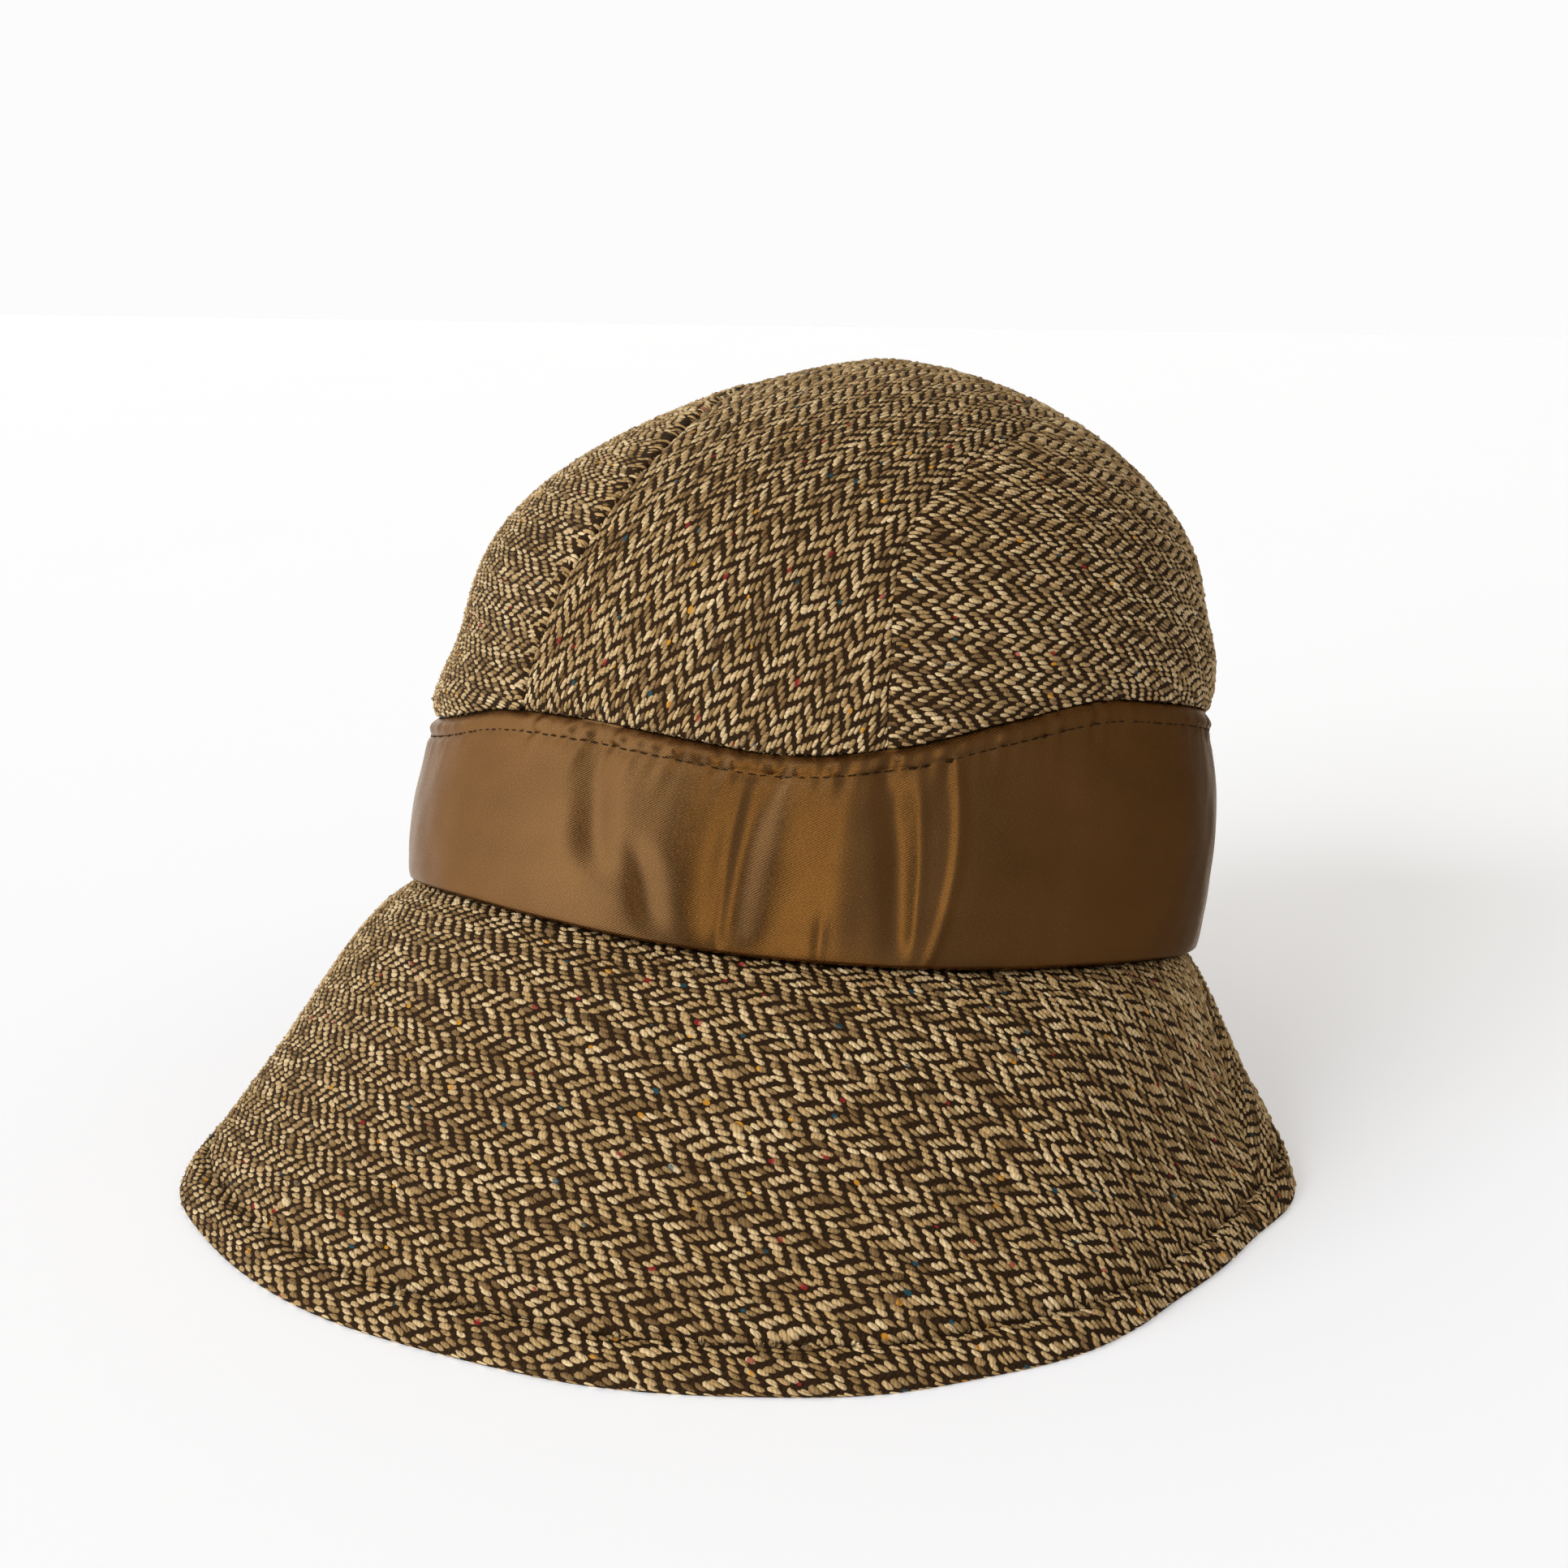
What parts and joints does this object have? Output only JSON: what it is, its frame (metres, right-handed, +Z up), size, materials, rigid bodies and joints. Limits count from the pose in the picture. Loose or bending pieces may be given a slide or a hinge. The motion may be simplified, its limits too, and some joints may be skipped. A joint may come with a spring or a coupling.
{
  "type": "cloche hat",
  "caption": "Soft herringbone tweed cloche hat with a domed panelled crown, a satin band with a wavy upper seam and a flared, downturned brim that is longer in front.",
  "frame": {"origin": "Middle of the hat's outline on the surface that the brim's edge rests on.", "axes": "+Z is up towards the crown, -Y is the front where the brim is longest, +X is the wearer's left, on the right of the picture."},
  "size_m": [0.2518, 0.2766, 0.179],
  "materials": {
    "tweed": "coarse herringbone wool, cream on dark brown",
    "satin": "bronze-brown satin, soft sheen",
    "thread": "dark brown sewing thread"
  },
  "bodies": {
    "root": {"crown_center_panel": "tweed", "crown_side_panel_left": "tweed", "crown_side_panel_right": "tweed", "hat_band": "satin", "brim_front": "tweed", "brim_back": "tweed"}
  },
  "joints": []
}
